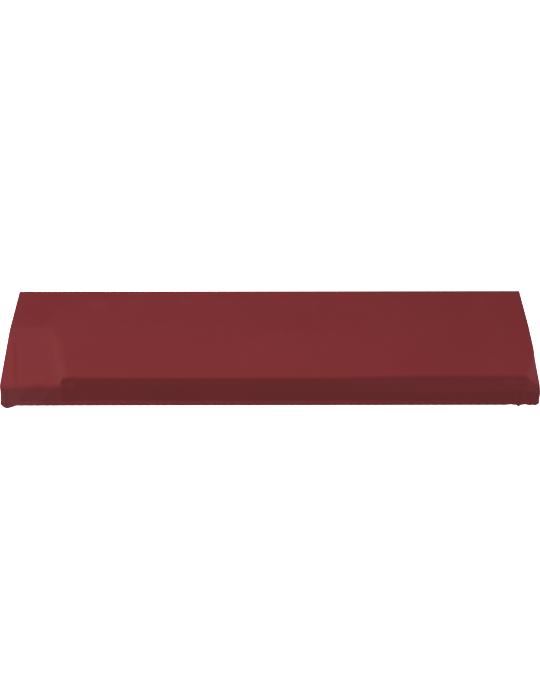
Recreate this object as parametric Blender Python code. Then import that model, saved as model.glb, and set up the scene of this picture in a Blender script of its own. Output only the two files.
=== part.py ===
"""Fitted dust cover of stretch jersey for a stage keyboard with 88 keys.

Units are metres. X runs along the keys, -Y is the player's side and +Z is up. Sections are drawn
with Y measured back from the front nose and Z measured up from the lower edge of the hem. The
origin then lies on the cloth's underside, under the top, at the middle of the plan.

A maker cuts three pieces: a wrap that runs up the front, over the top and down the back, and a
shaped panel sewn into each end. Each has its own turned hem.
"""
import math
from typing import NamedTuple

import bmesh
import bpy
from mathutils import Vector

# Overall size, to the outside of the cloth
HALF_WIDTH = 0.645
BACK_Y = 0.333
BACK_HEIGHT = 0.1100
PANEL_SLOPE = math.radians(3.5)
BLOCK_SLOPE = math.radians(14.1)

# Cloth, seams and hem
CLOTH_THICKNESS = 0.002
HEM_THICKNESS = 0.0034
HEM_HEIGHT = 0.012
HEM_STEP = 0.0014
HEM_PROUD = 0.0006
SEAM_GAP = 0.0003
RIM_RADIUS = 0.004
RIM_LAP = 0.001
SIDE_FLARE = 0.0025
FLARE_HEIGHT = 0.040

# Heights of the rows on the front and back skirts: the hem's foot, the step at the hem's
# stitched edge, the middle of the stretch that the gathers reach, and its top
HEM_EDGE_ROWS = (HEM_HEIGHT - HEM_STEP / 2.0, HEM_HEIGHT + HEM_STEP / 2.0)
SKIRT_HEIGHTS = (0.0, *HEM_EDGE_ROWS, (HEM_HEIGHT + FLARE_HEIGHT) / 2.0, FLARE_HEIGHT)

# Faces across each stretch of the section, and round each rim
FOLD_FACES = 5
TOP_FACES = 10
BEND_FACES = 2
PANEL_FACES = 3
RIM_FACES = 3
MIDDLE_FACES = 8

CUT_TOLERANCE = 1e-6

COLOUR = (0.205, 0.031, 0.036, 1.0)
ROUGHNESS = 0.9


class Corner(NamedTuple):
    """A corner of a cross section and the radius of the fold there."""

    y: float
    z: float
    radius: float


class Row(NamedTuple):
    """A point of a cross section and the way the cloth faces there, as (Y, Z) pairs."""

    point: Vector
    normal: Vector


class Span(NamedTuple):
    """A stretch of the wrap that ends at a distance from its end, and the faces across it."""

    to: float
    faces: int


class Column(NamedTuple):
    """A line of the wrap at one X, its turn round the rim, its lap past the rim, and its side."""

    x: float
    turn: float
    lap: float
    side: float


class Ramp(NamedTuple):
    """Distances from an end at which the cloth climbs from the block to the keys.

    Further back the climb lies nearer the end, by the whole shift from the shift's end on.
    """

    foot: float
    head: float
    tail: float
    shift: float
    shift_end: float


class Gather(NamedTuple):
    """A spot where the hem is bunched and hangs lower, measured along the hem from a corner.

    Its two flanks reach outwards, past the corner, and inwards. A negative depth lifts the hem.
    """

    centre: float
    flank_out: float
    flank_in: float
    depth: float


# Shared corners: the hems, the edge of the control panel below the cloth, and the back
FRONT_HEM = Corner(-0.007, 0.0, 0.0)
BACK_FOLD = Corner(BACK_Y, BACK_HEIGHT, 0.006)
BACK_HEM = Corner(BACK_Y, 0.0, 0.0)
PANEL_EDGE_Y = 0.1715
PANEL_EDGE_HEIGHT = BACK_HEIGHT - (BACK_Y - PANEL_EDGE_Y) * math.tan(PANEL_SLOPE)
PANEL_LIP = 0.0065

# Over an end block the cloth drops evenly from the panel to a low round nose
NOSE_Y = -0.003
NOSE_HEIGHT = PANEL_EDGE_HEIGHT - (PANEL_EDGE_Y - NOSE_Y) * math.tan(BLOCK_SLOPE)
BLOCK_SECTION = (
    FRONT_HEM,
    Corner(NOSE_Y, NOSE_HEIGHT, 0.012),
    Corner(PANEL_EDGE_Y, PANEL_EDGE_HEIGHT, 0.190),
    BACK_FOLD,
    BACK_HEM,
)

# Over the keys it is taut from the panel's lip to the higher and sharper front edge of the keys
KEY_FOLD = Corner(0.0105, 0.0742, 0.0095)
KEYS_SECTION = (
    FRONT_HEM,
    KEY_FOLD,
    Corner(PANEL_EDGE_Y + PANEL_LIP, PANEL_EDGE_HEIGHT + PANEL_LIP * math.tan(PANEL_SLOPE), 0.300),
    BACK_FOLD,
    BACK_HEM,
)

# How the wrap is divided inwards from each end, beyond its rounded rim
LEFT_SPANS = (
    Span(0.010, 2),
    Span(0.022, 3),
    Span(0.044, 4),
    Span(0.098, 2),
    Span(0.152, 13),
    Span(0.176, 4),
)
RIGHT_SPANS = (
    Span(0.014, 3),
    Span(0.026, 4),
    Span(0.047, 7),
    Span(0.057, 2),
    Span(0.075, 1),
)

# The block at the left end is wide, and at the right end there is only a narrow cheek
LEFT_RAMP = Ramp(foot=0.1395, head=0.152, tail=0.172, shift=0.038, shift_end=PANEL_EDGE_Y)
RIGHT_RAMP = Ramp(foot=0.008, head=0.039, tail=0.047, shift=0.047, shift_end=0.110)
HEAD_SHARE = 0.88

# Distances from each end over which the front skirt leans back to the keys' line, and the
# stretch behind the nose over which this gives way to the ramps
LEFT_BLEND = (0.110, 0.172)
RIGHT_BLEND = (-0.030, 0.045)
BLEND_FADE = (0.020, 0.120)
BLOCK_LEAN = (NOSE_Y - FRONT_HEM.y) / NOSE_HEIGHT
LEAN_GAP = (KEY_FOLD.y - FRONT_HEM.y) / KEY_FOLD.z - BLOCK_LEAN

# The front fold over the keys hangs a little lower in the middle and rides up at the right
SAG_DEPTH = 0.0030
SAG_RISE = 0.0033
SAG_LEFT = (-0.60, -0.30)
SAG_RIGHT = (0.10, 0.46)
SAG_HEIGHTS = (0.040, 0.070)
SAG_FADE = (0.020, 0.160)

LEFT_GATHERS = (Gather(0.0, 0.007, 0.007, -0.003), Gather(0.015, 0.014, 0.027, 0.0085))
RIGHT_GATHERS = (
    Gather(0.0, 0.006, 0.006, -0.0035),
    Gather(0.0085, 0.005, 0.007, 0.0020),
    Gather(0.020, 0.005, 0.005, 0.0014),
    Gather(0.051, 0.006, 0.006, 0.0046),
)
GATHER_SWELL = 0.3

# Places where each end panel is divided from front to back, as distances behind the nose
END_PANEL_CUTS = (0.002, 0.008, 0.045, 0.120, 0.210, 0.290)


def smooth_step(low, high, value):
    """Ease from 0 at low to 1 at high."""
    share = min(max((value - low) / (high - low), 0.0), 1.0)
    return share * share * (3.0 - 2.0 * share)


def turned_left(direction):
    """Turn a direction in the section by a quarter turn, to the outside of the cloth."""
    return Vector((-direction.y, direction.x))


def fold_rows(before, corner, after, faces):
    """Rows round the fold at a corner, from the leg before it to the leg after it."""
    at = Vector((corner.y, corner.z))
    way_in = (at - Vector((before.y, before.z))).normalized()
    way_out = (Vector((after.y, after.z)) - at).normalized()
    turn = way_in.angle(way_out)
    reach = corner.radius * math.tan(turn / 2.0)
    normal_in = turned_left(way_in)
    centre = at - way_in * reach - normal_in * corner.radius
    rows = []
    for index in range(faces + 1):
        angle = -turn * index / faces
        normal = Vector((
            normal_in.x * math.cos(angle) - normal_in.y * math.sin(angle),
            normal_in.x * math.sin(angle) + normal_in.y * math.cos(angle),
        ))
        rows.append(Row(centre + normal * corner.radius, normal))
    return rows


def leg_rows(start, end, faces):
    """Rows between two folds, without the ends."""
    return [
        Row(start.point.lerp(end.point, index / faces), start.normal)
        for index in range(1, faces)
    ]


def skirt_rows(hem, fold, heights):
    """Rows of a skirt at the given heights, on the straight line from its hem to its fold."""
    foot = Vector((hem.y, hem.z))
    run = Vector((fold.y, fold.z)) - foot
    outward = turned_left(run).normalized()
    if outward.x * (hem.y - BACK_Y / 2.0) < 0.0:
        outward.negate()
    return [Row(foot + run * (height - hem.z) / run.y, outward) for height in heights]


def section_rows(corners):
    """All rows of a cross section, from the front hem over the top to the back hem."""
    front_hem, front_fold, bend, back_fold, back_hem = corners
    front = fold_rows(front_hem, front_fold, bend, FOLD_FACES)
    middle = fold_rows(front_fold, bend, back_fold, BEND_FACES)
    back = fold_rows(bend, back_fold, back_hem, FOLD_FACES)
    rows = skirt_rows(front_hem, front_fold, SKIRT_HEIGHTS)
    rows += front + leg_rows(front[-1], middle[0], TOP_FACES)
    rows += middle + leg_rows(middle[-1], back[0], PANEL_FACES)
    rows += back
    rows += skirt_rows(back_hem, back_fold, tuple(reversed(SKIRT_HEIGHTS)))
    return rows


def climb(ramp, distance, y):
    """Share of the way from the block's section to the keys' section."""
    reach = distance + ramp.shift * min(max(y / ramp.shift_end, 0.0), 1.0)
    head = smooth_step(ramp.foot, ramp.head, reach)
    tail = smooth_step(ramp.foot, ramp.tail, reach)
    return HEAD_SHARE * head + (1.0 - HEAD_SHARE) * tail


def keys_share(x, y):
    """Share of the keys' section in the shape of the cloth at a place in the plan."""
    return climb(LEFT_RAMP, HALF_WIDTH + x, y) * climb(RIGHT_RAMP, HALF_WIDTH - x, y)


def front_share(x):
    """Share of the keys' lean in the front skirt, which changes slowly past the ramps."""
    return smooth_step(*LEFT_BLEND, HALF_WIDTH + x) * smooth_step(*RIGHT_BLEND, HALF_WIDTH - x)


def sag(x, y, height):
    """How far the front fold over the keys hangs down; below zero where it rides up."""
    right = smooth_step(*SAG_RIGHT, x)
    hang = SAG_DEPTH * smooth_step(*SAG_LEFT, x) * (1.0 - right) - SAG_RISE * right
    return hang * smooth_step(*SAG_HEIGHTS, height) * (1.0 - smooth_step(*SAG_FADE, y))


def blended_row(block_row, keys_row, x):
    """The cloth's row at X, between the block's shape and the keys' shape."""
    share = keys_share(x, block_row.point.x)
    y, height = block_row.point.lerp(keys_row.point, share)
    ahead = 1.0 - smooth_step(*BLEND_FADE, y)
    y += (front_share(x) - share) * LEAN_GAP * height * ahead
    normal = block_row.normal.lerp(keys_row.normal, share).normalized()
    return Row(Vector((y, height - sag(x, y, height))), normal)


def hem_proud(height):
    """How far the doubled hem stands out of the cloth above it."""
    return HEM_PROUD if height < HEM_HEIGHT else 0.0


def flare(height):
    """How far the ends of the skirt stand out, most at the hem."""
    return SIDE_FLARE * max(0.0, 1.0 - height / FLARE_HEIGHT)


def hem_drop(x, y, height):
    """How far the gathered corners pull the hem down at a place on the skirt."""
    if y > BACK_Y / 2.0:
        return 0.0
    fade = 1.0 - smooth_step(HEM_HEIGHT, FLARE_HEIGHT, height)
    behind = max(y, 0.0)
    total = 0.0
    for end_distance, gathers in ((HALF_WIDTH + x, LEFT_GATHERS), (HALF_WIDTH - x, RIGHT_GATHERS)):
        along = max(end_distance, 0.0) - behind
        for gather in gathers:
            offset = along - gather.centre
            share = abs(offset) / (gather.flank_in if offset > 0.0 else gather.flank_out)
            if share < 1.0:
                total += gather.depth * 0.5 * (1.0 + math.cos(math.pi * share))
    return total * fade


def underside_height(y):
    """Height of the cloth's underside at the middle of the key span."""
    rows = section_rows(KEYS_SECTION)
    for low, high in zip(rows, rows[1:]):
        if low.point.x <= y <= high.point.x:
            share = (y - low.point.x) / (high.point.x - low.point.x)
            return low.point.y + share * (high.point.y - low.point.y) - CLOTH_THICKNESS
    raise ValueError("no cloth over that place")


ORIGIN_Y = (FRONT_HEM.y + BACK_Y) / 2.0
ORIGIN_HEIGHT = underside_height(ORIGIN_Y)


def placed(x, y, height, outward):
    """Put a point of the cloth into the part's frame, with the flare and the gathers."""
    drop = hem_drop(x, y, height)
    swell = outward * drop * GATHER_SWELL
    return Vector((
        x * (1.0 + flare(height) / HALF_WIDTH) + swell.x,
        y - ORIGIN_Y + swell.y,
        height - ORIGIN_HEIGHT - drop,
    ))


def rim_columns(side):
    """Columns round one end's rim, from the seam to the start of the rim."""
    edge = side * (HALF_WIDTH - RIM_RADIUS)
    quarter = math.pi / 2.0
    columns = [Column(edge, quarter, RIM_LAP, side)]
    for index in range(RIM_FACES, 0, -1):
        columns.append(Column(edge, quarter * index / RIM_FACES, 0.0, side))
    return columns


def span_columns(side, spans):
    """Columns inwards from the start of one end's rim."""
    start = RIM_RADIUS
    distances = [start]
    for span in spans:
        distances += [start + (span.to - start) * (i + 1) / span.faces for i in range(span.faces)]
        start = span.to
    return [Column(side * (HALF_WIDTH - distance), 0.0, 0.0, side) for distance in distances]


def wrap_columns():
    """All columns of the wrap from left to right."""
    left = rim_columns(-1.0) + span_columns(-1.0, LEFT_SPANS)
    right = rim_columns(1.0) + span_columns(1.0, RIGHT_SPANS)
    start, end = left[-1].x, right[-1].x
    step = (end - start) / MIDDLE_FACES
    middle = [Column(start + step * index, 0.0, 0.0, 1.0) for index in range(1, MIDDLE_FACES)]
    return left + middle + right[::-1]


def wrap_point(block_row, keys_row, column):
    """Place of one point of the wrap's outer surface."""
    row = blended_row(block_row, keys_row, column.x)
    y, height = row.point
    normal = Vector((0.0, row.normal.x, row.normal.y))
    sideways = Vector((column.side * math.sin(column.turn), 0.0, 0.0))
    outward = normal * math.cos(column.turn) + sideways
    rolled = (outward - normal) * RIM_RADIUS + outward * hem_proud(height) - normal * column.lap
    point = Vector((column.x, y, height)) + rolled
    place = placed(point.x, point.y, height, outward)
    place.z += rolled.z
    return place


def cloth_object(name, mesh_builder, material):
    """Make one piece of cloth from a sheet, thickened inwards, with a thicker hem."""
    mesh = bpy.data.meshes.new(name)
    piece = bpy.data.objects.new(name, mesh)
    bpy.context.scene.collection.objects.link(piece)
    mesh.materials.append(material)
    hem_group = piece.vertex_groups.new(name="hem")
    sheet = bmesh.new()
    weights = sheet.verts.layers.deform.verify()
    mesh_builder(sheet, weights, hem_group.index)
    sheet.to_mesh(mesh)
    sheet.free()
    mesh.shade_smooth()
    solidify = piece.modifiers.new("Cloth thickness", "SOLIDIFY")
    solidify.thickness = HEM_THICKNESS
    solidify.offset = -1.0
    solidify.use_even_offset = True
    solidify.vertex_group = hem_group.name
    solidify.thickness_vertex_group = CLOTH_THICKNESS / HEM_THICKNESS
    return piece


def build_wrap(sheet, weights, hem_index):
    """Shape a flat grid into the wrap, a row for each step round the section."""
    block_rows = section_rows(BLOCK_SECTION)
    keys_rows = section_rows(KEYS_SECTION)
    columns = wrap_columns()
    across, along = len(columns) - 1, len(block_rows) - 1
    bmesh.ops.create_grid(sheet, x_segments=across, y_segments=along, size=1.0)
    for vert in sheet.verts:
        column = columns[round((vert.co.x + 1.0) / 2.0 * across)]
        index = round((vert.co.y + 1.0) / 2.0 * along)
        height = block_rows[index].point.y
        vert.co = wrap_point(block_rows[index], keys_rows[index], column)
        if height < HEM_HEIGHT:
            vert[weights][hem_index] = 1.0


def end_panel_builder(side):
    """Return the function that shapes the end panel on one side."""
    def build(sheet, weights, hem_index):
        """Cut the outline from flat cloth, divide it, and give it its flare and hem."""
        inset = RIM_RADIUS + RIM_LAP + SEAM_GAP
        seam = side * (HALF_WIDTH - RIM_RADIUS)
        outline = []
        for block_row, keys_row in zip(section_rows(BLOCK_SECTION), section_rows(KEYS_SECTION)):
            row = blended_row(block_row, keys_row, seam)
            edge = row.point - row.normal * inset
            outline.append(sheet.verts.new((side * HALF_WIDTH, edge.x, edge.y)))
        face = sheet.faces.new(outline)
        face.normal_update()
        if face.normal.x * side < 0.0:
            face.normal_flip()
        cuts = [(Vector((0.0, 0.0, height)), Vector((0.0, 0.0, 1.0))) for height in SKIRT_HEIGHTS[1:]]
        cuts += [(Vector((0.0, y, 0.0)), Vector((0.0, 1.0, 0.0))) for y in END_PANEL_CUTS]
        for place, normal in cuts:
            geometry = sheet.verts[:] + sheet.edges[:] + sheet.faces[:]
            bmesh.ops.bisect_plane(
                sheet, geom=geometry, plane_co=place, plane_no=normal, dist=CUT_TOLERANCE
            )
        outward = Vector((side, 0.0, 0.0))
        for vert in sheet.verts:
            _, y, height = vert.co
            reach = side * (HALF_WIDTH + hem_proud(height))
            vert.co = placed(reach, y, height, outward)
            if height < HEM_HEIGHT:
                vert[weights][hem_index] = 1.0
    return build


def cloth_material():
    """Dark red stretch jersey."""
    material = bpy.data.materials.new("Dark red jersey")
    material.use_nodes = True
    shader = material.node_tree.nodes["Principled BSDF"]
    shader.inputs["Base Color"].default_value = COLOUR
    shader.inputs["Roughness"].default_value = ROUGHNESS
    shader.inputs["Metallic"].default_value = 0.0
    return material


def main():
    """Clear the scene and make the cover."""
    for thing in list(bpy.data.objects):
        bpy.data.objects.remove(thing)
    wrap_cloth = cloth_material()
    left_cloth = cloth_material()
    right_cloth = cloth_material()
    cloth_object("wrap_panel", build_wrap, wrap_cloth)
    cloth_object("end_panel_left", end_panel_builder(-1.0), left_cloth)
    cloth_object("end_panel_right", end_panel_builder(1.0), right_cloth)


main()
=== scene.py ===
"""Looks of a fitted keyboard dust cover in dark red stretch jersey.

The cloth is drawn with Y measured back from the front nose and Z up from the foot of the hem, as
the solids are, and then moved into the frame, whose origin lies under the top cloth.
"""
import logging
import math
from dataclasses import dataclass
from enum import Enum
from functools import partialmethod
from typing import Iterable, NamedTuple, Optional, Sequence, Union

import bmesh
import bpy
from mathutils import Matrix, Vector


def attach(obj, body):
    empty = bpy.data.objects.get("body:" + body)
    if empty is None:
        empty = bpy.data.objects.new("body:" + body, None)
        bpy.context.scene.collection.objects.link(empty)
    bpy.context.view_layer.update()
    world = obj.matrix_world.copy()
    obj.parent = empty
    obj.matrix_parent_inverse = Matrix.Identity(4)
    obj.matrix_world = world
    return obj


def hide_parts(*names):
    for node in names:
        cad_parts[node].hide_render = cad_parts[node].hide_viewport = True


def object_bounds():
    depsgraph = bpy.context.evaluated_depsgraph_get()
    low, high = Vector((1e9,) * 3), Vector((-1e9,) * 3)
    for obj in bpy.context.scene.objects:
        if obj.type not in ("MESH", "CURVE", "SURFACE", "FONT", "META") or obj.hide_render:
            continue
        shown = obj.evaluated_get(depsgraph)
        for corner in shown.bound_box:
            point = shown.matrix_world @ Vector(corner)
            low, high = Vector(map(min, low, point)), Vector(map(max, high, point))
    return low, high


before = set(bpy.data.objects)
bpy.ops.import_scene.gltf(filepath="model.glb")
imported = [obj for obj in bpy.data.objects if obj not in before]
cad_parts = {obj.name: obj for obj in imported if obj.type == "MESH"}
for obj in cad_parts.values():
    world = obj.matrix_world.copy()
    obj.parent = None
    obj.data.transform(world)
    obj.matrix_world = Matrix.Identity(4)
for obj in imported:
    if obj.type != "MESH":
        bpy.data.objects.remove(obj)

SOLID_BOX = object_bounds()
CLOTH_MAP = "Cloth"
# the mesh attribute that holds the painted shade and light of the cloth, as a tone
PAINTED_SHADE_ATTRIBUTE = "slack"
MIX_FIRST, MIX_SECOND, MIX_RESULT = 6, 7, 2

logging.basicConfig(level=logging.INFO, format="%(message)s")
log = logging.getLogger("dust_cover")

Pair = tuple[float, float]
Colour = tuple[float, float, float, float]


class End(Enum):
    """The two ends of the cover, by the sign of X."""

    LEFT = -1.0
    RIGHT = 1.0


class Corner(NamedTuple):
    """A corner of a cross section and the radius of the fold there."""

    y: float
    z: float
    radius: float

    @property
    def at(self) -> Vector:
        """The corner's place in the section."""
        return Vector((self.y, self.z))


class Station(NamedTuple):
    """A place on a cross section, the way the cloth faces, and how far inside that it lies."""

    point: Vector
    normal: Vector
    inset: float

    def inside(self, depth: float) -> Vector:
        """The place at a depth behind the station."""
        return self.point - self.normal * depth


class Column(NamedTuple):
    """A line of the wrap at one X: its turn round the rim, lap past the rim and dip at the seam."""

    x: float
    turn: float
    lap: float
    dip: float


class Ramp(NamedTuple):
    """Distances from an end at which the cloth climbs from the block to the keys.

    Further back the climb lies nearer the end, by the shift, and it is wider by the spread.
    """

    foot: float
    head: float
    tail: float
    shift: float
    shift_end: float
    spread: float = 0.0


class Gather(NamedTuple):
    """A bunched spot of the hem: its lowest place from a corner, its two flanks and its depth."""

    centre: float
    flank_out: float
    flank_in: float
    depth: float

    def pull(self, along: float) -> float:
        """How far it pulls the hem down, at a distance from the corner."""
        offset = along - self.centre
        return self.depth * bell(offset / (self.flank_in if offset > 0.0 else self.flank_out))


class Swell(NamedTuple):
    """A low rise or dish of the top, over a control below the cloth."""

    x: float
    y: float
    half_x: float
    half_y: float
    height: float


class Crease(NamedTuple):
    """A soft trough or ridge along a line on the cloth, from one end of the line to the other.

    The line runs between two places, each given by X and by the distance up from the hem's foot.
    """

    x_start: float
    up_start: float
    x_end: float
    up_end: float
    half_width: float
    height: float


class EndShade(NamedTuple):
    """The painted light that one end adds to the tone: over its block and its ramp, on top and in
    front.

    The front adds more near the corner, and the ramp adds more near the nose.
    """

    block_top: float
    block_front: float
    corner_front: float
    ramp_top: float
    ramp_nose: float
    ramp_front: float


class Grain(NamedTuple):
    """A smooth random pattern: its scale, its detail and how much it changes the shade."""

    scale: float
    detail: float
    depth: float


def ease(low: float, high: float, value: float) -> float:
    """Share from 0 to 1 that rises smoothly while a value goes from low to high."""
    share = min(max((value - low) / (high - low), 0.0), 1.0)
    return share * share * (3.0 - 2.0 * share)


def bell(offset: float) -> float:
    """A round bump that is 1 at no offset and 0 from an offset of 1 on."""
    if abs(offset) >= 1.0:
        return 0.0
    return 0.5 * (1.0 + math.cos(math.pi * offset))


def hump(middle: float, half: float, value: float) -> float:
    """A round bump over a middle value, with a half width."""
    return bell((value - middle) / half)


def turned_left(way: Vector) -> Vector:
    """Turn a direction in the section by a quarter turn, to the outside of the cloth."""
    return Vector((-way.y, way.x))


def distances(places: Sequence[Vector]) -> list[float]:
    """Distance of each place from the first one, along the line through them all."""
    totals = [0.0]
    for before, after in zip(places, places[1:]):
        totals.append(totals[-1] + (after - before).length)
    return totals


@dataclass(frozen=True)
class CoverForm:
    """The shape in which the cloth is stretched, with its hem, rims, ramps and low relief."""

    half_width: float = 0.645
    back_y: float = 0.333
    back_height: float = 0.1100
    panel_slope: float = math.radians(3.5)
    block_slope: float = math.radians(14.1)
    panel_edge_y: float = 0.1715
    panel_lip: float = 0.0065
    front_hem_y: float = -0.007
    nose_y: float = -0.003
    nose_radius: float = 0.012
    block_bend: float = 0.190
    key_fold: Corner = Corner(0.0105, 0.0742, 0.0095)
    keys_bend: float = 0.300
    back_radius: float = 0.006
    origin_height: float = 0.09616

    hem_height: float = 0.012
    hem_step: float = 0.0024
    hem_proud: float = 0.0003
    hem_roll: float = 0.0014
    hem_kick: float = 0.0016
    side_flare: float = 0.0025
    flare_height: float = 0.040
    rim_radius: float = 0.004
    rim_lap: float = 0.001
    seam_gap: float = 0.0003
    seam_dip: float = 0.0012

    left_ramp: Ramp = Ramp(0.1425, 0.1515, 0.170, shift=0.038, shift_end=0.1715, spread=0.008)
    right_ramp: Ramp = Ramp(0.008, 0.039, 0.047, shift=0.047, shift_end=0.110)
    spread_end: float = 0.035
    head_share: float = 0.88
    left_blend: Pair = (0.110, 0.172)
    right_blend: Pair = (-0.030, 0.045)
    blend_fade: Pair = (0.020, 0.120)
    lean_gap: float = 0.165
    sag_depth: float = 0.0030
    sag_rise: float = 0.0033
    sag_left: Pair = (-0.60, -0.30)
    sag_right: Pair = (0.10, 0.46)
    sag_heights: Pair = (0.040, 0.070)
    sag_fade: Pair = (0.020, 0.160)
    right_corner: float = 0.020
    corner_bulge: float = 0.0040
    bulge_end: float = 0.080
    bulge_z: Pair = (0.030, 0.036)
    edge_draw: float = 0.0022
    draw_y: Pair = (0.065, 0.050)
    draw_heights: Pair = (0.030, 0.060)

    left_gathers: tuple[Gather, ...] = (
        Gather(0.0000, 0.007, 0.007, -0.0022),
        Gather(0.0135, 0.0145, 0.0285, 0.0085),
    )
    right_gathers: tuple[Gather, ...] = (
        Gather(0.000, 0.006, 0.006, -0.0035),
        Gather(0.0085, 0.005, 0.007, 0.0010),
        Gather(0.0200, 0.005, 0.005, 0.0011),
        Gather(0.0330, 0.007, 0.009, -0.0014),
        Gather(0.0482, 0.006, 0.006, 0.0046),
        Gather(0.0660, 0.009, 0.012, -0.0015),
    )
    gather_bulge: float = 0.30
    gather_tuck: float = 0.08
    hem_ripple: float = 0.00022
    ripple_rates: Pair = (310.0, 523.0)
    ripple_finer: float = 0.6
    ripple_start: float = 1.3

    crease_start: Pair = (-0.25, 0.25)
    crease_end: Pair = (0.70, 1.25)
    swells: tuple[Swell, ...] = (
        Swell(-0.585, 0.245, 0.060, 0.062, -0.0016),
        Swell(-0.555, 0.305, 0.045, 0.026, -0.0008),
        Swell(-0.571, 0.205, 0.032, 0.026, -0.0008),
        Swell(-0.436, 0.273, 0.034, 0.025, 0.0022),
        Swell(-0.342, 0.282, 0.036, 0.030, 0.0009),
        Swell(-0.220, 0.284, 0.036, 0.028, 0.0010),
        Swell(-0.105, 0.280, 0.044, 0.024, 0.0008),
        Swell(0.110, 0.280, 0.060, 0.022, 0.0007),
        Swell(0.322, 0.286, 0.018, 0.022, 0.0008),
        Swell(0.540, 0.292, 0.014, 0.024, 0.0008),
        Swell(0.578, 0.292, 0.014, 0.024, 0.0008),
        Swell(0.470, 0.250, 0.070, 0.050, -0.0007),
        Swell(0.010, 0.296, 0.420, 0.022, -0.0005),
    )
    creases: tuple[Crease, ...] = (
        Crease(-0.500, 0.070, -0.545, 0.022, 0.010, 0.0006),
        Crease(-0.497, 0.078, -0.530, 0.235, 0.012, 0.0005),
        Crease(-0.515, 0.070, -0.632, 0.012, 0.012, -0.0005),
        Crease(-0.620, 0.006, -0.590, 0.040, 0.006, 0.0007),
        Crease(-0.612, 0.004, -0.560, 0.026, 0.005, -0.0006),
        Crease(-0.632, 0.006, -0.628, 0.042, 0.004, -0.0006),
        Crease(0.572, 0.070, 0.618, 0.016, 0.011, 0.0005),
        Crease(0.594, 0.004, 0.590, 0.034, 0.004, 0.0005),
        Crease(0.632, 0.004, 0.622, 0.036, 0.005, -0.0005),
        Crease(-0.300, 0.020, -0.120, 0.055, 0.016, -0.0003),
        Crease(0.180, 0.018, 0.400, 0.050, 0.018, -0.0003),
        Crease(0.160, 0.034, 0.590, 0.034, 0.015, 0.0006),
        Crease(-0.490, 0.050, -0.466, 0.050, 0.009, 0.0014),
        Crease(-0.6065, 0.066, -0.6260, 0.200, 0.003, -0.0009),
        Crease(-0.6220, 0.066, -0.6370, 0.200, 0.005, 0.0004),
    )

    @property
    def middle_y(self) -> float:
        """The middle of the plan from front to back."""
        return (self.front_hem_y + self.back_y) / 2.0

    def block_corners(self) -> tuple[Corner, ...]:
        """Corners of the section over an end block, from the front hem to the back hem."""
        edge = self.back_height - (self.back_y - self.panel_edge_y) * math.tan(self.panel_slope)
        nose = edge - (self.panel_edge_y - self.nose_y) * math.tan(self.block_slope)
        return (
            Corner(self.front_hem_y, 0.0, 0.0),
            Corner(self.nose_y, nose, self.nose_radius),
            Corner(self.panel_edge_y, edge, self.block_bend),
            Corner(self.back_y, self.back_height, self.back_radius),
            Corner(self.back_y, 0.0, 0.0),
        )

    def keys_corners(self) -> tuple[Corner, ...]:
        """Corners of the section over the keys, from the front hem to the back hem."""
        hem, _, edge, back, back_hem = self.block_corners()
        lip = Corner(
            edge.y + self.panel_lip,
            edge.z + self.panel_lip * math.tan(self.panel_slope),
            self.keys_bend,
        )
        return (hem, self.key_fold, lip, back, back_hem)

    def climb(self, ramp: Ramp, distance: float, y: float) -> float:
        """Share of the way from the block's section to the keys' section on one ramp."""
        reach = distance + ramp.shift * min(max(y / ramp.shift_end, 0.0), 1.0)
        wider = ramp.spread / 2.0 * ease(0.0, self.spread_end, y)
        head = ease(ramp.foot - wider, ramp.head + wider, reach)
        tail = ease(ramp.foot - wider, ramp.tail + wider, reach)
        return self.head_share * head + (1.0 - self.head_share) * tail

    def keys_share(self, x: float, y: float, spread: bool = True) -> float:
        """Share of the keys' section at a place in the plan.

        The painted shade changes over a narrower strip than the shape, without the ramp's spread.
        """
        ramp = self.left_ramp if spread else self.left_ramp._replace(spread=0.0)
        left = self.climb(ramp, self.half_width + x, y)
        return left * self.climb(self.right_ramp, self.half_width - x, y)

    def front_share(self, x: float) -> float:
        """Share of the keys' lean in the front skirt, which changes slowly past the ramps."""
        left = ease(*self.left_blend, self.half_width + x)
        return left * ease(*self.right_blend, self.half_width - x)

    def sag(self, x: float, y: float, z: float) -> float:
        """How far the front fold over the keys hangs down; below zero where it rides up."""
        right = ease(*self.sag_right, x)
        hang = self.sag_depth * ease(*self.sag_left, x) * (1.0 - right) - self.sag_rise * right
        return hang * ease(*self.sag_heights, z) * (1.0 - ease(*self.sag_fade, y))

    def blended(self, block: Station, keys: Station, x: float) -> Station:
        """The station at X, between the section over a block and the section over the keys."""
        share = self.keys_share(x, block.point.x)
        y, z = block.point.lerp(keys.point, share)
        ahead = 1.0 - ease(*self.blend_fade, y)
        y += (self.front_share(x) - share) * self.lean_gap * z * ahead
        normal = block.normal.lerp(keys.normal, share).normalized()
        return Station(Vector((y, z - self.sag(x, y, z))), normal, block.inset)

    def drop(self, x: float, y: float) -> float:
        """How far the gathers pull the foot of the hem down, at a place in the plan."""
        if y > self.middle_y:
            return 0.0
        total = 0.0
        for distance, gathers in (
            (self.half_width + x, self.left_gathers),
            (self.half_width - x, self.right_gathers),
        ):
            along = max(distance, 0.0) - max(y, 0.0)
            total += sum(gather.pull(along) for gather in gathers)
        return total

    def ripple(self, x: float, y: float) -> float:
        """Small waves that the stitching leaves along the hem."""
        rate, finer_rate = self.ripple_rates
        finer = self.ripple_finer * math.sin((x + y) * finer_rate + self.ripple_start)
        return self.hem_ripple * (math.sin((x + y) * rate) + finer)

    def swelling(self, x: float, y: float) -> float:
        """Height of the broad relief at a place in the plan, outwards."""
        total = 0.0
        for swell in self.swells:
            across = (x - swell.x) / swell.half_x
            behind = (y - swell.y) / swell.half_y
            total += swell.height * bell(math.hypot(across, behind))
        return total

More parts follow.
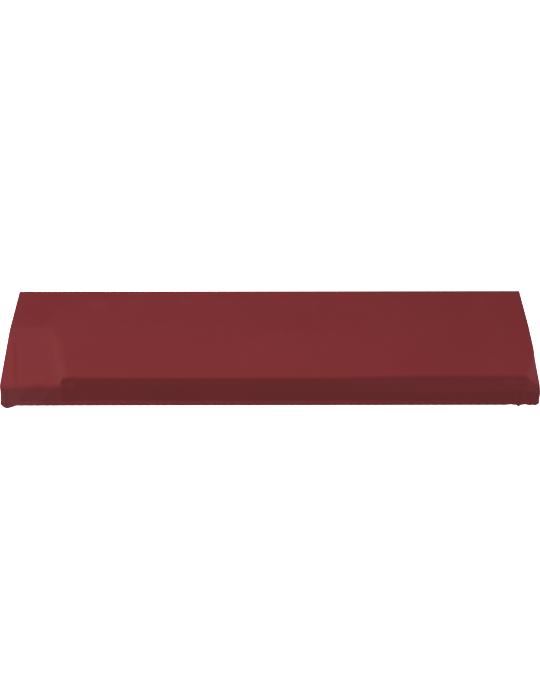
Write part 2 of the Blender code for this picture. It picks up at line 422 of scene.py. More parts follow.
    def creasing(self, x: float, up: float) -> float:
        """Height of the creases at X and at a distance up from the hem's foot, outwards."""
        total = 0.0
        for crease in self.creases:
            run = Vector((crease.x_end - crease.x_start, crease.up_end - crease.up_start))
            away = Vector((x - crease.x_start, up - crease.up_start))
            share = away.dot(run) / run.length_squared
            aside = abs(away.x * run.y - away.y * run.x) / run.length
            fade = ease(*self.crease_start, share) * (1.0 - ease(*self.crease_end, share))
            total += crease.height * fade * bell(aside / (2.0 * crease.half_width))
        return total

    def placed(self, x: float, y: float, z: float, height: float, outward: Vector) -> Vector:
        """Put a point of the cloth into the frame, with the flare, the gathers and the ripples.

        Args:
            x: the place along the cover.
            y: the distance behind the nose.
            z: the height of the point above the hem's foot.
            height: the height of its row on the skirt, which sets the flare and the gathers.
            outward: the way the cloth faces there.

        Returns:
            The point in the frame.
        """
        skirt = 1.0 - ease(self.hem_height, self.flare_height, height)
        drop = self.drop(x, y) * skirt if skirt > 0.0 else 0.0
        share = min(max(height / self.flare_height, 0.0), 1.0)
        bulge = self.gather_bulge * math.sin(math.pi * share)
        tuck = self.gather_tuck * (1.0 - share) ** 2
        sway = max(drop, 0.0) * (bulge - tuck) + skirt * self.ripple(x, y)
        flared = x * (1.0 + self.side_flare * (1.0 - share) / self.half_width)
        return Vector((
            flared + outward.x * sway + self.right_corner_shift(x, y, z),
            y - self.middle_y + outward.y * sway,
            z - self.origin_height - drop,
        ))

    def right_corner_shift(self, x: float, y: float, z: float) -> float:
        """How far the right end stands out at its front corner, and is drawn in behind it."""
        corner = ease(self.half_width - self.right_corner, self.half_width, x)
        bulge = self.corner_bulge * (1.0 - ease(0.0, self.bulge_end, y)) * hump(*self.bulge_z, z)
        draw = self.edge_draw * hump(*self.draw_y, y) * ease(*self.draw_heights, z)
        return corner * (bulge - draw)


@dataclass(frozen=True)
class SectionPlan:
    """How finely the cross section is divided, and the stations that come of it."""

    form: CoverForm
    hem_rows: int = 4
    roll_steps: int = 8
    skirt_rows: int = 6
    fold_steps: int = 10
    front_rows: int = 5
    top_rows: int = 42
    bend_steps: int = 8
    panel_rows: int = 28
    back_rows: int = 8

    def fold(self, before: Corner, corner: Corner, after: Corner, steps: int) -> list[Station]:
        """Stations round the fold at a corner, from the leg before it to the leg after it."""
        way_in = (corner.at - before.at).normalized()
        way_out = (after.at - corner.at).normalized()
        turn = way_in.angle(way_out)
        normal_in = turned_left(way_in)
        centre = corner.at - way_in * corner.radius * math.tan(turn / 2.0)
        centre -= normal_in * corner.radius
        stations = []
        for index in range(steps + 1):
            angle = -turn * index / steps
            normal = Vector((
                normal_in.x * math.cos(angle) - normal_in.y * math.sin(angle),
                normal_in.x * math.sin(angle) + normal_in.y * math.cos(angle),
            ))
            stations.append(Station(centre + normal * corner.radius, normal, 0.0))
        return stations

    def leg(self, start: Station, end: Station, rows: int) -> list[Station]:
        """Stations between two others, without the ends."""
        return [
            Station(start.point.lerp(end.point, index / rows), start.normal, 0.0)
            for index in range(1, rows)
        ]

    def skirt_station(self, hem: Corner, fold: Corner, height: float, inset: float) -> Station:
        """The station at one height of a skirt, which faces away from the cover's middle."""
        run = fold.at - hem.at
        normal = turned_left(run).normalized()
        if normal.x * (hem.y - self.form.middle_y) < 0.0:
            normal = -normal
        return Station(hem.at + run * height / run.y, normal, inset)

    def hem_and_skirt(self, hem: Corner, fold: Corner) -> list[Station]:
        """Stations of one hem and skirt, from the turned-up edge inside to the skirt's top."""
        form = self.form
        rise = (form.hem_height - form.hem_step / 2.0 - form.hem_roll) / self.hem_rows
        climbs = [form.hem_roll + rise * index for index in range(1, self.hem_rows + 1)]
        inner = 2.0 * form.hem_roll - form.hem_proud
        places = [(height, inner) for height in reversed(climbs)]
        for index in range(self.roll_steps + 1):
            angle = math.pi * index / self.roll_steps
            inset = form.hem_roll * (1.0 + math.cos(angle)) - form.hem_proud
            places.append((form.hem_roll * (1.0 - math.sin(angle)), inset))
        places += [(height, -form.hem_proud) for height in climbs]
        places = [(height, inset - self.kick(height)) for height, inset in places]
        start = form.hem_height + form.hem_step / 2.0
        for index in range(self.skirt_rows + 1):
            places.append((start + (form.flare_height - start) * index / self.skirt_rows, 0.0))
        return [self.skirt_station(hem, fold, height, inset) for height, inset in places]

    def kick(self, height: float) -> float:
        """How far the hem stands out towards its foot."""
        return self.form.hem_kick * max(0.0, 1.0 - height / self.form.hem_height)

    def skirt_count(self) -> int:
        """The number of stations of one hem and skirt."""
        return 2 * self.hem_rows + self.roll_steps + self.skirt_rows + 2

    def on_hem(self, corners: Sequence[Corner], height: float, back: bool) -> Station:
        """The station on the outside of the front or back hem, at one height."""
        hem, fold = corners[:-3:-1] if back else corners[:2]
        return self.skirt_station(hem, fold, height, -self.form.hem_proud - self.kick(height))

    def stations(self, corners: Sequence[Corner]) -> list[Station]:
        """All stations of a cross section, from the front hem's edge to the back hem's edge."""
        hem, fold, bend, back, back_hem = corners
        rows = self.hem_and_skirt(hem, fold)
        for part, count in (
            (self.fold(hem, fold, bend, self.fold_steps), self.front_rows),
            (self.fold(fold, bend, back, self.bend_steps), self.top_rows),
            (self.fold(bend, back, back_hem, self.fold_steps), self.panel_rows),
            (self.hem_and_skirt(back_hem, back)[::-1], self.back_rows),
        ):
            rows += self.leg(rows[-1], part[0], count) + part
        return rows

    def runs(self, stations: Sequence[Station]) -> list[float]:
        """Distance of each station from the front hem's foot, along the cloth."""
        totals = distances([row.inside(row.inset) for row in stations])
        foot = totals[self.hem_rows + self.roll_steps // 2]
        return [total - foot for total in totals]


class Wire:
    """A shader socket whose numbers can be combined with Python's operators.

    A pingpong rises and falls on straight slopes between 0 and its half period.
    """

    def __init__(self, graph: "NodeGraph", socket: bpy.types.NodeSocket) -> None:
        """Wrap one socket of a graph."""
        self.graph = graph
        self.socket = socket

    def combined(self, operation: str, other: "Operand") -> "Wire":
        """Add a Math node for this and another value and return its result."""
        inputs = {0: self, 1: other}
        return self.graph.read("Value", "ShaderNodeMath", {"operation": operation}, inputs)

    __add__ = partialmethod(combined, "ADD")
    __sub__ = partialmethod(combined, "SUBTRACT")
    __mul__ = partialmethod(combined, "MULTIPLY")
    __truediv__ = partialmethod(combined, "DIVIDE")
    pingpong = partialmethod(combined, "PINGPONG")

    def wave(self, pitch: float) -> "Wire":
        """A smooth wave between 0 and 1 along this value, of one pitch."""
        return (self * (2.0 * math.pi / pitch)).combined("SINE", 0.0) * 0.5 + 0.5

    def parts(self) -> list["Wire"]:
        """The X, Y and Z of this vector."""
        split = self.graph.node("ShaderNodeSeparateXYZ", None, {"Vector": self})
        return [Wire(self.graph, socket) for socket in split.outputs]


Operand = Union[Wire, float]


class NodeGraph:
    """The node tree of one material."""

    def __init__(self, name: str) -> None:
        """Start a material with an empty tree and its output and shader."""
        self.material = bpy.data.materials.new(name)
        self.material.use_nodes = True
        self.tree = self.material.node_tree
        self.tree.nodes.clear()
        self.shader = self.node("ShaderNodeBsdfPrincipled")
        surface = Wire(self, self.shader.outputs["BSDF"])
        self.node("ShaderNodeOutputMaterial", None, {"Surface": surface})

    def node(
        self, kind: str, settings: Optional[dict] = None, inputs: Optional[dict] = None
    ) -> bpy.types.Node:
        """Add a node.

        Args:
            kind: the node's type.
            settings: properties of the node, set first; "stops" holds a ramp's stops.
            inputs: values or wires for its sockets, by name or number.

        Returns:
            The node.
        """
        made = self.tree.nodes.new(kind)
        for name, value in (settings or {}).items():
            if name == "stops":
                while len(made.color_ramp.elements) < len(value):
                    made.color_ramp.elements.new(1.0)
                for element, (position, colour) in zip(made.color_ramp.elements, value):
                    element.position = position
                    element.color = colour
            else:
                setattr(made, name, value)
        for name, value in (inputs or {}).items():
            self.feed(made.inputs[name], value)
        return made

    def read(self, output: Union[str, int], kind: str, *details: Optional[dict]) -> Wire:
        """Add a node, as above, and return the wire from one of its outputs."""
        return Wire(self, self.node(kind, *details).outputs[output])

    def feed(self, socket: bpy.types.NodeSocket, value: object) -> None:
        """Link a wire to a socket, or set the socket's own value."""
        if isinstance(value, Wire):
            self.tree.links.new(value.socket, socket)
        else:
            socket.default_value = value

    def bump(self, strength: float, depth: float, height: Wire, **below: Wire) -> Wire:
        """A bump of one height, which may lie on the Normal of another bump."""
        inputs = {"Strength": strength, "Distance": depth, "Height": height, **below}
        return self.read("Normal", "ShaderNodeBump", None, inputs)

    def dress(self, inputs: dict) -> None:
        """Set or link sockets of the shader."""
        for name, value in inputs.items():
            self.feed(self.shader.inputs[name], value)


@dataclass(frozen=True)
class JerseyFinish:
    """Matte stretch jersey: fine ribs of knit loops with painted shade in their valleys, a little
    fuzz, slow random changes of tone, and the painted shade and light of each point.

    Each shade has the tone at which it shows, and the last one stays from there on.
    """

    name: str = "Dark red jersey"
    shades: tuple[tuple[float, Colour], ...] = (
        (0.0, (0.1615, 0.0180, 0.0200, 1.0)),
        (0.5, (0.1977, 0.0236, 0.0266, 1.0)),
        (1.0, (0.2310, 0.0366, 0.0402, 1.0)),
        (1.6, (0.2900, 0.0460, 0.0505, 1.0)),
    )
    rib_pitch: float = 0.0010
    loop_pitch: float = 0.0008
    loop_slant: float = 0.0007
    rib_share: float = 0.65
    # painted shade: the tone is darker in the knit's valleys and lighter on its raised ribs and
    # loops
    knit_shade: float = 0.22
    knit_depth: float = 0.00010
    knit_strength: float = 0.55
    fuzz_depth: float = 0.00004
    fuzz_strength: float = 0.5
    noise_roughness: float = 0.55
    cloud: Grain = Grain(5.0, 3.0, 0.26)
    mottle: Grain = Grain(55.0, 4.0, 0.20)
    fuzz: Grain = Grain(1400.0, 2.0, 0.12)
    lint_scale: float = 160.0
    lint_edge: Pair = (0.05, 0.09)
    lint_shade: float = 0.30
    roughness: float = 0.86
    roughness_play: float = 0.08
    specular: float = 0.14
    sheen: float = 0.09
    sheen_roughness: float = 0.45

    def material(self) -> bpy.types.Material:
        """Build the node material."""
        graph = NodeGraph(self.name)
        across, along, _ = graph.read("UV", "ShaderNodeUVMap", {"uv_map": CLOTH_MAP}).parts()
        rib = across.pingpong(self.rib_pitch / 2.0) / (self.rib_pitch / 2.0)
        loop = (along + rib * self.loop_slant).wave(self.loop_pitch)
        knit = rib * self.rib_share + loop * (1.0 - self.rib_share)

        place = graph.read("Object", "ShaderNodeTexCoord")
        cloud = self.noise(graph, place, self.cloud)
        mottle = self.noise(graph, place, self.mottle)
        fuzz = self.noise(graph, place, self.fuzz)
        cells = {"Vector": place, "Scale": self.lint_scale}
        near, far = self.lint_edge
        speck = graph.read("Result", "ShaderNodeMapRange", {"clamp": True}, {
            "Value": graph.read("Distance", "ShaderNodeTexVoronoi", None, cells),
            "From Min": near,
            "From Max": far,
            "To Min": self.lint_shade,
            "To Max": 0.0,
        })
        # read the painted shade and light of each point
        slack = graph.read("Fac", "ShaderNodeAttribute", {"attribute_name": PAINTED_SHADE_ATTRIBUTE})

        # the tone adds painted shade and light, random clouds and mottles, the knit's painted
        # valley shade, random fuzz and lint specks
        tone = slack + (cloud - 0.5) * self.cloud.depth + (mottle - 0.5) * self.mottle.depth
        tone = tone + (knit - 0.5) * self.knit_shade + (fuzz - 0.5) * self.fuzz.depth + speck
        brightest = self.shades[-1][0]
        stops = [(stop / brightest, colour) for stop, colour in self.shades]
        level = {"Fac": tone / brightest}
        shade = graph.read("Color", "ShaderNodeValToRGB", {"stops": stops}, level)
        knit_bump = graph.bump(self.knit_strength, self.knit_depth, knit)
        fuzz_bump = graph.bump(self.fuzz_strength, self.fuzz_depth, fuzz, Normal=knit_bump)
        graph.dress({
            "Base Color": shade,
            "Roughness": (mottle - 0.5) * self.roughness_play + self.roughness,
            "Specular IOR Level": self.specular,
            "Sheen Weight": self.sheen,
            "Sheen Roughness": self.sheen_roughness,
            "Normal": fuzz_bump,
        })
        return graph.material

    def noise(self, graph: NodeGraph, place: Wire, grain: Grain) -> Wire:
        """A smooth random pattern of one grain."""
        return graph.read(0, "ShaderNodeTexNoise", None, {
            "Vector": place,
            "Scale": grain.scale,
            "Detail": grain.detail,
            "Roughness": self.noise_roughness,
        })


@dataclass(frozen=True)
class ThreadFinish:
    """Polyester sewing thread in the cloth's colour, a little glossier, with its twist."""

    name: str = "Red sewing thread"
    # the deep colour is painted shade in the twist's grooves, the light one painted light on its
    # crests
    deep: Colour = (0.150, 0.014, 0.018, 1.0)
    light: Colour = (0.235, 0.028, 0.034, 1.0)
    twist_pitch: float = 0.0006
    depth: float = 0.00005
    strength: float = 0.5
    roughness: float = 0.55
    roughness_play: float = 0.1
    specular: float = 0.35

    def material(self) -> bpy.types.Material:
        """Build the node material."""
        graph = NodeGraph(self.name)
        x, y, z = graph.read("Object", "ShaderNodeTexCoord").parts()
        twist = (x + y + z).wave(self.twist_pitch)
        blend = {"Factor": twist, MIX_FIRST: self.deep, MIX_SECOND: self.light}
        shade = graph.read(MIX_RESULT, "ShaderNodeMix", {"data_type": "RGBA"}, blend)
        graph.dress({
            "Base Color": shade,
            "Roughness": twist * self.roughness_play + self.roughness,
            "Specular IOR Level": self.specular,
            "Normal": graph.bump(self.strength, self.depth, twist),
        })
        return graph.material


def linked_object(name: str, data: bpy.types.ID) -> bpy.types.Object:
    """Put a mesh, a curve, a lamp or a camera into the scene, at the origin."""
    made = bpy.data.objects.new(name, data)
    bpy.context.scene.collection.objects.link(made)
    return made


def mesh_of(name: str, draft: bmesh.types.BMesh) -> bpy.types.Mesh:
    """Turn a draft into a mesh and free the draft."""
    mesh = bpy.data.meshes.new(name)
    draft.to_mesh(mesh)
    draft.free()
    return mesh


@dataclass
class Cloth:
    """The jersey, which is the same in all pieces: how thick it is and how it is finished."""

    thickness: float = 0.0009
    finish: JerseyFinish = JerseyFinish()

    def __post_init__(self) -> None:
        """Build the material once for all pieces."""
        self.look = self.finish.material()

    def piece(
        self,
        name: str,
        node: str,
        points: Sequence[Sequence[Vector]],
        runs: Sequence[Sequence[Pair]],
        slack: Sequence[Sequence[float]],
    ) -> bpy.types.Object:
        """Shape a flat grid into a sheet of cloth that stands for its solid.

        Args:
            name: the piece's name.
            node: the solid that it stands for.
            points: a row of places for each step up the cloth, from left to right.
            runs: the place of each point on the flat cloth, in metres.
            slack: the painted shade and light at each point, a tone from 0, deep, to 1, light.

        Returns:
            The piece, with the flat cloth as its UV map and the painted shade as an attribute.
        """
        rows, columns = len(points) - 1, len(points[0]) - 1
        sheet = bmesh.new()
        bmesh.ops.create_grid(sheet, x_segments=columns, y_segments=rows, size=1.0)
        painted_shade_layer = sheet.verts.layers.float.new(PAINTED_SHADE_ATTRIBUTE)
        cloth = sheet.loops.layers.uv.new(CLOTH_MAP)
        places = {}
        for vert in sheet.verts:
            column = round((vert.co.x + 1.0) / 2.0 * columns)
            row = round((vert.co.y + 1.0) / 2.0 * rows)
            places[vert] = (row, column)
            vert.co = points[row][column]
            # each point's tone of painted shade and light
            vert[painted_shade_layer] = slack[row][column]
        for face in sheet.faces:
            face.smooth = True
            for loop in face.loops:
                row, column = places[loop.vert]
                loop[cloth].uv = runs[row][column]
        piece = linked_object(name, mesh_of(name, sheet))
        piece.data.materials.append(self.look)
        solidify = piece.modifiers.new("Cloth thickness", "SOLIDIFY")
        solidify.thickness = self.thickness
        solidify.offset = -1.0
        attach(piece, "root")
        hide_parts(node)
        return piece


@dataclass(frozen=True)
class PaintedShade:
    """Painted shade and light on the wrap, as a tone that sets its colour: 0 is deep, 1 light.

    The tone is painted lighter over the low blocks and their ramps and high on the right of the
    front, and painted darker on the front skirt, over the front edge and down in a crease or dish.
    It is also lighter in the hem band.
    """

    form: CoverForm
    # tones of painted shade and light over each part of the wrap
    panel: float = 0.56
    keys_top: float = 0.55
    keys_front: float = 0.04
    upper_front: float = 0.33
    # painted shade over the front fold, in place of its highlight
    front_edge: float = -0.12
    hem: float = 0.10
    hem_over_keys: float = 0.30
    hem_easing: float = 0.4
    # painted light that each end adds over its block and its ramp
    left: EndShade = EndShade(0.18, 0.50, 0.42, ramp_top=1.0, ramp_nose=1.4, ramp_front=0.2)
    right: EndShade = EndShade(0.32, 0.26, 0.0, ramp_top=2.9, ramp_nose=0.0, ramp_front=0.5)
    # painted shade and light from the relief, per metre of its height: darker in troughs and
    # dishes, lighter on ridges and rises
    crease: float = 250.0
    swell: float = 60.0

    panel_edge: Pair = (0.002, 0.014)
    ramp_fade: Pair = (0.05, 0.16)
    nose_fade: Pair = (0.030, 0.070)
    corner_fade: Pair = (0.02, 0.13)
    rightward_span: Pair = (0.10, 0.40)
    upper_heights: Pair = (0.030, 0.042)
    hem_heights: Pair = (0.010, 0.013)
    front_facing: Pair = (-0.60, -0.95)
    edge_facing: Pair = (0.7, 0.3)

    def at(self, x: float, block: Station, run: Pair) -> float:
        """The painted shade and light at a point, as a tone from below 0 where it is painted
        darkest.

        Args:
            x: the place along the cover.
            block: its station on the section over the blocks.
            run: the distances up to the stations over block and keys, along the cloth.

        Returns:
            The tone of painted shade and light.
        """
        form = self.form
        end = self.left if x < 0.0 else self.right
        y, height = block.point
        facing = block.normal.x
        share, tone = form.keys_share(x, y), form.keys_share(x, y, spread=False)
        low = 1.0 - tone
        ramp = share * (1.0 - share) * (1.0 - ease(*self.ramp_fade, y))
        nose = 1.0 - ease(*self.nose_fade, y)
        corner = 1.0 - ease(*self.corner_fade, form.half_width - abs(x))
        rightward = ease(*self.rightward_span, x)

        # painted light on top over the low blocks and their ramps, more near the nose
        top = self.keys_top + end.block_top * low + (end.ramp_top + end.ramp_nose * nose) * ramp
        # painted shade: the front skirt takes a far darker tone than the top, with painted light
        # over the blocks, near the left corner, on the ramps and high on the right
        skirt = self.keys_front + (end.block_front + end.corner_front * corner) * low
        skirt += end.ramp_front * ramp + self.upper_front * rightward * ease(*self.upper_heights, height)
        # painted shade: the tone turns from the top's to the skirt's as the cloth turns to face
        # forward
        front = ease(*self.front_facing, facing) if facing < 0.0 else 0.0
        # painted shade on the front fold, where the cloth faces half forward
        edge = self.front_edge * hump(*self.edge_facing, abs(facing))
        # lighter in the hem band, less towards the right
        hem = (self.hem + self.hem_over_keys * tone) * (1.0 - self.hem_easing * rightward)
        hem *= 1.0 - ease(*self.hem_heights, height)

        start, stop = self.panel_edge
        ahead = 1.0 - ease(form.panel_edge_y + start, form.panel_edge_y + stop, y)
        # painted shade down in creases and dishes, painted light on ridges and rises
        relief = form.creasing(x, run[0] + (run[1] - run[0]) * share) * self.crease
        relief += form.swelling(x, y) * self.swell
        return relief + self.panel + ahead * (top + front * (skirt - top) + edge + hem - self.panel)


@dataclass
class WrapPanel:
    """The long strip of cloth up the front, over the top and down the back.

    Beyond each rim lie the columns of the seam, whose laps and dips are shares of the form's.
    """

    form: CoverForm
    plan: SectionPlan
    shade: PaintedShade
    rim_steps: int = 5
    rim_fade: float = 0.020
    seam_laps: tuple[float, ...] = (1.45, 1.30, 1.00, 0.40)
    seam_dips: tuple[float, ...] = (1.00, 0.45, 0.10, 0.00)
    fine_step: float = 0.0022
    coarse_step: float = 0.0072
    left_fine: float = 0.180
    right_fine: float = 0.070

    def columns(self) -> list[Column]:
        """All columns of the wrap from the left seam to the right seam."""
        form = self.form
        edge = form.half_width - form.rim_radius
        quarter = math.pi / 2.0
        seam = [
            Column(edge, quarter, form.rim_lap * lap, form.seam_dip * dip)
            for lap, dip in zip(self.seam_laps, self.seam_dips)
        ]
        rim = [
            Column(edge, quarter * index / self.rim_steps, 0.0, 0.0)
            for index in range(self.rim_steps, -1, -1)
        ]
        right = seam + rim
        left = [column._replace(x=-column.x) for column in right]
        left_end = self.left_fine - form.half_width
        right_end = form.half_width - self.right_fine
        stops = self.spread(-edge, left_end, self.fine_step)
        stops += self.spread(left_end, right_end, self.coarse_step)
        stops += self.spread(right_end, edge, self.fine_step)
        middle = [Column(x, 0.0, 0.0, 0.0) for x in stops[1:]]
        return left + middle + right[::-1]

    @staticmethod
    def spread(start: float, end: float, step: float) -> list[float]:
        """Even places from start up to, but without, the end."""
        count = max(1, round((end - start) / step))
        return [start + (end - start) * index / count for index in range(count)]

    def point(self, block: Station, keys: Station, run: Pair, column: Column) -> Vector:
        """The place of one point of the wrap.

        Args:
            block: its station on the section over the blocks.
            keys: its station on the section over the keys.
            run: the distances up to the two stations from the hem's foot, along the cloth.
            column: its column.

        Returns:
            The point in the frame.
        """
        form = self.form
        share = form.keys_share(column.x, block.point.x)
        (y, height), turned, _ = form.blended(block, keys, column.x)
        normal = Vector((0.0, turned.x, turned.y))
        side = math.copysign(1.0, column.x)
        sideways = Vector((side * math.sin(column.turn), 0.0, 0.0))
        outward = normal * math.cos(column.turn) + sideways
        radius = form.rim_radius - block.inset
        rolled = outward * radius - normal * (form.rim_radius + column.lap)
        rolled.x -= side * column.dip
        if column.turn == 0.0 and block.inset <= 0.0:
            fade = ease(0.0, self.rim_fade, form.half_width - abs(column.x))
            up = run[0] + (run[1] - run[0]) * share
            relief = form.swelling(column.x, y) + form.creasing(column.x, up)
            rolled += normal * relief * fade
        place = Vector((column.x, y, height)) + rolled
        return form.placed(place.x, place.y, place.z, block.point.y, outward)

    def build(self, cloth: Cloth) -> bpy.types.Object:
        blocks = self.plan.stations(self.form.block_corners())
        keys = self.plan.stations(self.form.keys_corners())
        ups, block_ups = self.plan.runs(keys), self.plan.runs(blocks)
        columns = self.columns()
        widths = self.widths(columns)
        points, runs, slack = [], [], []
        for block, key, up, block_up in zip(blocks, keys, ups, block_ups):
            points.append([self.point(block, key, (block_up, up), column) for column in columns])
            runs.append([(width, up) for width in widths])
            # the painted shade and light of each point of the row
            slack.append([self.shade.at(column.x, block, (block_up, up)) for column in columns])
        piece = cloth.piece("jersey_wrap", "wrap_panel", points, runs, slack)
        return piece

    def widths(self, columns: Iterable[Column]) -> list[float]:
        """Place of each column across the flat cloth."""
        places = []
        for column in columns:
            beyond = self.form.rim_radius * column.turn + column.lap + column.dip
            places.append(column.x + math.copysign(beyond, column.x))
        return places

    def hem_line(self, height: float, back: bool) -> list[Vector]:
        """Places along the hem's outside at one height, from the left rim to the right rim."""
        block = self.plan.on_hem(self.form.block_corners(), height, back)
        keys = self.plan.on_hem(self.form.keys_corners(), height, back)
        return [
            self.point(block, keys, (height, height), column)
            for column in self.columns() if column.dip == 0.0
        ]


@dataclass
class EndPanel:
    """The shaped piece of cloth sewn into one end."""

    form: CoverForm
    plan: SectionPlan
    end: End
    upper_rows: int = 12
    edge_steps: tuple[float, ...] = (0.0, 0.00015, 0.0005, 0.0010)
    hollow: float = 0.0012
    hem_points: int = 40
    # the end panels take one even middle tone, with no painted shade or light
    slack: float = 0.5

    def seam_stations(self) -> list[Station]:
        """Stations of the wrap at this end's seam, from the front hem's edge to the back hem's."""
        blocks = self.plan.stations(self.form.block_corners())
        keys = self.plan.stations(self.form.keys_corners())
        seam = self.end.value * (self.form.half_width - self.form.rim_radius)
        return [self.form.blended(block, key, seam) for block, key in zip(blocks, keys)]

    def sink(self, distance: float) -> float:
        """How far the cloth dips into the seam at a distance from the panel's edge."""
        return self.form.seam_dip * (1.0 - ease(0.0, self.edge_steps[-1], distance))

    def place(self, y: float, z: float, height: float, inset: float, dip: float) -> Vector:
        """Put one point of the panel into the frame."""
        reach = self.end.value * (self.form.half_width - inset - dip)
        return self.form.placed(reach, y, z, height, Vector((self.end.value, 0.0, 0.0)))

    def build(self, cloth: Cloth) -> bpy.types.Object:
        form, plan = self.form, self.plan
        inset = form.rim_radius + form.rim_lap + form.seam_gap
        stations, count = self.seam_stations(), plan.skirt_count()
        front, back = stations[:count], stations[-count:][::-1]
        top = stations[count + plan.front_rows - 1:len(stations) - count - plan.back_rows + 1]
        tops = [row.inside(inset) for row in top]
        along = distances(tops)
        shares = [distance / along[-1] for distance in along]
        bases = [(low.inside(inset), high.inside(inset)) for low, high in zip(front, back)]
        points = [
            self.row(base, tops, shares, 0.0, height=low.point.y, inset=low.inset)
            for base, low in zip(bases, front)
        ]
        for index in range(1, self.upper_rows):
            points.append(self.row(bases[-1], tops, shares, index / self.upper_rows))
        for step in reversed(self.edge_steps):
            edges = [row.inside(inset + step) for row in top]
            points.append(self.row(bases[-1], edges, shares, 1.0, step=step))
        if self.end is End.LEFT:
            points = [row[::-1] for row in points]
        runs = [[(point.y, point.z) for point in row] for row in points]
        slack = [[self.slack] * len(shares) for _ in points]
        side = self.end.name.lower()
        name = f"jersey_end_{side}"
        piece = cloth.piece(name, f"end_panel_{side}", points, runs, slack)
        return piece

    def row(
        self,
        base: tuple[Vector, Vector],
        tops: Sequence[Vector],
        shares: Sequence[float],
        level: float,
        height: float = 0.0,
        inset: float = 0.0,
        step: float = math.inf,
    ) -> list[Vector]:
        """Points of one row, on the skirt or between its top and the outline.

        Args:
            base: the front and back ends of the row on the skirt, or of the skirt's top row.
            tops: the places on the outline that the columns lead to.
            shares: the place of each column along the skirt.
            level: the row's share of the way up from the skirt's top.
            height: the height of the row, on the skirt.
            inset: how far inside the cloth's outer face the row lies.
            step: the distance of the row from the outline, on the rows next to it.

        Returns:
            The points in the frame.
        """
        start, end = base
        length = (end - start).length
        row = []
        for top, share in zip(tops, shares):
            y, z = start.lerp(end, share).lerp(top, level)
            depth = min(share * length, (1.0 - share) * length, step)
            hollow = self.hollow * math.sin(math.pi * share) * math.sin(math.pi * level)
            row_height = max(z, self.form.flare_height) if level else height
            row.append(self.place(y, z, row_height, inset + hollow, self.sink(depth)))
        return row

    def hem_line(self, height: float) -> list[Vector]:
        """Places along the hem's outside at one height, from the front to the back."""
        form = self.form
        start, end = form.front_hem_y + form.rim_radius, form.back_y - form.rim_radius
        step = (end - start) / self.hem_points
        inset = -form.hem_proud - self.plan.kick(height)
        return [
            self.place(start + step * index, height, height, inset, 0.0)
            for index in range(1, self.hem_points)
        ]


@dataclass
class HemStitches:
    """Twin rows of stitches that hold the turned hem, all the way round."""

    wrap: WrapPanel
    ends: tuple[EndPanel, EndPanel]
    heights: tuple[float, ...] = (0.0078, 0.0102)
    length: float = 0.0023
    pitch: float = 0.0030
    radius: float = 0.00026
    around: int = 6
    rings: int = 4

    def path(self, height: float) -> bpy.types.Object:
        """A closed curve round the hem at one height."""
        left, right = self.ends
        places = self.wrap.hem_line(height, back=False)
        places += right.hem_line(height)
        places += self.wrap.hem_line(height, back=True)[::-1]
        places += left.hem_line(height)[::-1]
        curve = bpy.data.curves.new("stitch_path", "CURVE")
        curve.dimensions = "3D"
        spline = curve.splines.new("POLY")
        spline.points.add(len(places) - 1)
        for point, place in zip(spline.points, places):
            point.co = (*place, 1.0)
        spline.use_cyclic_u = True
        return linked_object("stitch_path", curve)

    def stitch(self) -> bpy.types.Mesh:
        """One stitch, a slim bead along X."""
        bead = bmesh.new()
        bmesh.ops.create_uvsphere(
            bead, u_segments=self.around, v_segments=self.rings, radius=self.radius
        )
        stretch = self.length / 2.0 / self.radius
        bmesh.ops.scale(bead, vec=(stretch, 1.0, 1.0), verts=bead.verts)
        bmesh.ops.translate(bead, vec=(self.length / 2.0, 0.0, 0.0), verts=bead.verts)
        for face in bead.faces:
            face.smooth = True
        return mesh_of("stitch", bead)

    def build(self, thread: bpy.types.Material) -> list[bpy.types.Object]:
        """Build one joined piece for each row of stitches."""
        rows = []
        for number, height in enumerate(self.heights, start=1):
            path = self.path(height)
            name = f"hem_stitches_{number}"
            draft = linked_object("stitch_draft", self.stitch())
            array = draft.modifiers.new("Row", "ARRAY")
            array.fit_type = "FIT_CURVE"
            array.curve = path
            array.use_relative_offset = False
            array.use_constant_offset = True
            array.constant_offset_displace = (self.pitch, 0.0, 0.0)
            bend = draft.modifiers.new("Along the hem", "CURVE")
            bend.object = path
            bend.deform_axis = "POS_X"
            depsgraph = bpy.context.evaluated_depsgraph_get()
            mesh = bpy.data.meshes.new_from_object(draft.evaluated_get(depsgraph))
            mesh.name = name
            mesh.materials.clear()
            mesh.materials.append(thread)
            bpy.data.objects.remove(draft)
            bpy.data.objects.remove(path)
            piece = linked_object(name, mesh)
            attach(piece, "root")
            log.info("%s: %d faces", name, len(mesh.polygons))
            rows.append(piece)
        return rows


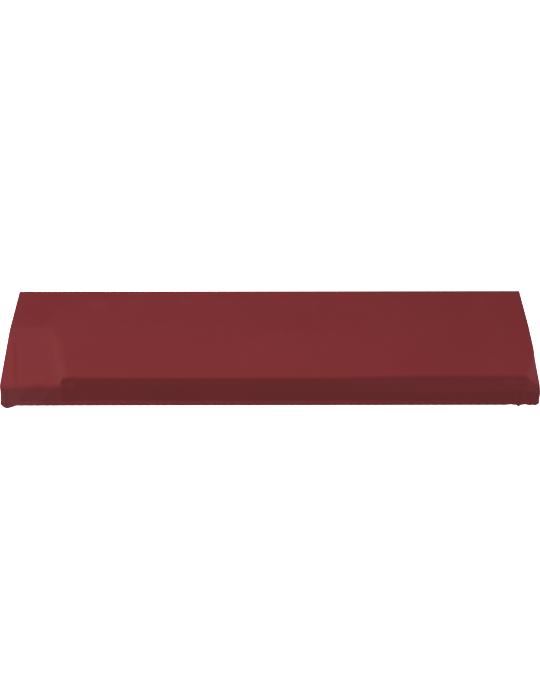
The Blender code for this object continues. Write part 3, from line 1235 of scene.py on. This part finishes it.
@dataclass
class Studio:
    """Pale floor, soft light and the camera at the photograph's angle."""

    form: CoverForm
    image_width: int = 540
    image_height: int = 700
    pitch: float = math.radians(35.6)
    roll: float = math.radians(-0.08)
    focal_pixels: float = 1242.0
    nose_height: float = 0.0496
    nose_row: float = 387.1
    nose_depth: float = 2.968
    centre_column: float = 269.55
    floor_half_size: float = 60.0
    floor_colour: Colour = (0.85, 0.85, 0.85, 1.0)
    floor_roughness: float = 0.9
    floor_specular: float = 0.1
    floor_glow: float = 2.20
    sensor: float = 36.0
    fill: float = 0.16
    fill_colour: Colour = (1.0, 1.0, 1.0, 1.0)
    key_place: tuple[float, float, float] = (-0.75, -1.52, 3.55)
    key_size: Pair = (1.8, 1.8)
    key_power: float = 143.0

    def floor(self) -> None:
        """Lay a pale floor at the foot of the cover, lit like a photographer's table.

        The photograph's ground is cut out, so the floor throws no light back on the cloth.
        """
        graph = NodeGraph("Pale floor")
        graph.dress({
            "Base Color": self.floor_colour,
            "Roughness": self.floor_roughness,
            "Specular IOR Level": self.floor_specular,
            "Emission Color": self.floor_colour,
            "Emission Strength": self.floor_glow,
        })
        sheet = bmesh.new()
        bmesh.ops.create_grid(sheet, x_segments=1, y_segments=1, size=self.floor_half_size)
        bmesh.ops.translate(sheet, vec=(0.0, 0.0, SOLID_BOX[0][2]), verts=sheet.verts)
        floor = linked_object("floor", mesh_of("floor", sheet))
        floor.data.materials.append(graph.material)
        floor.visible_diffuse = False

    def lights(self) -> None:
        """Set the soft surrounding light, and hang a soft lamp that faces the cover's middle."""
        world = bpy.data.worlds.new("Studio")
        bpy.context.scene.world = world
        world.use_nodes = True
        background = world.node_tree.nodes["Background"]
        background.inputs["Color"].default_value = self.fill_colour
        background.inputs["Strength"].default_value = self.fill
        data = bpy.data.lights.new("key", "AREA")
        data.shape = "RECTANGLE"
        data.size, data.size_y = self.key_size
        data.energy = self.key_power
        lamp = linked_object("key", data)
        lamp.location = self.key_place
        lamp.rotation_euler = (-lamp.location).to_track_quat("-Z", "Y").to_euler()
        bpy.context.scene.view_settings.view_transform = "Standard"

    def camera(self) -> None:
        """Set the camera."""
        below = math.atan((self.nose_row - self.image_height / 2.0) / self.focal_pixels)
        reach = self.nose_depth / math.cos(below)
        ray = self.pitch + below
        nose = Vector((0.0, -self.form.middle_y, self.nose_height - self.form.origin_height))
        data = bpy.data.cameras.new("camera")
        data.sensor_width = self.sensor
        data.lens = self.focal_pixels / self.image_height * self.sensor
        data.shift_x = (self.image_width / 2.0 - self.centre_column) / self.image_height
        camera = linked_object("camera", data)
        camera.location = nose + reach * Vector((0.0, -math.cos(ray), math.sin(ray)))
        camera.rotation_euler = (math.pi / 2.0 - self.pitch, 0.0, 0.0)
        camera.rotation_euler.rotate_axis("Z", self.roll)
        bpy.context.scene.camera = camera

    def build(self) -> None:
        """Set the whole studio."""
        self.floor()
        self.lights()
        self.camera()
        log.info("studio: floor at %.4f", SOLID_BOX[0][2])


def main() -> None:
    """Build the cover and the studio."""
    form = CoverForm()
    plan = SectionPlan(form)
    Studio(form).build()
    cloth = Cloth()
    wrap = WrapPanel(form, plan, PaintedShade(form))
    ends = (EndPanel(form, plan, End.LEFT), EndPanel(form, plan, End.RIGHT))
    wrap.build(cloth)
    for end in ends:
        end.build(cloth)
    HemStitches(wrap, ends).build(ThreadFinish().material())


if __name__ == "__main__":
    main()
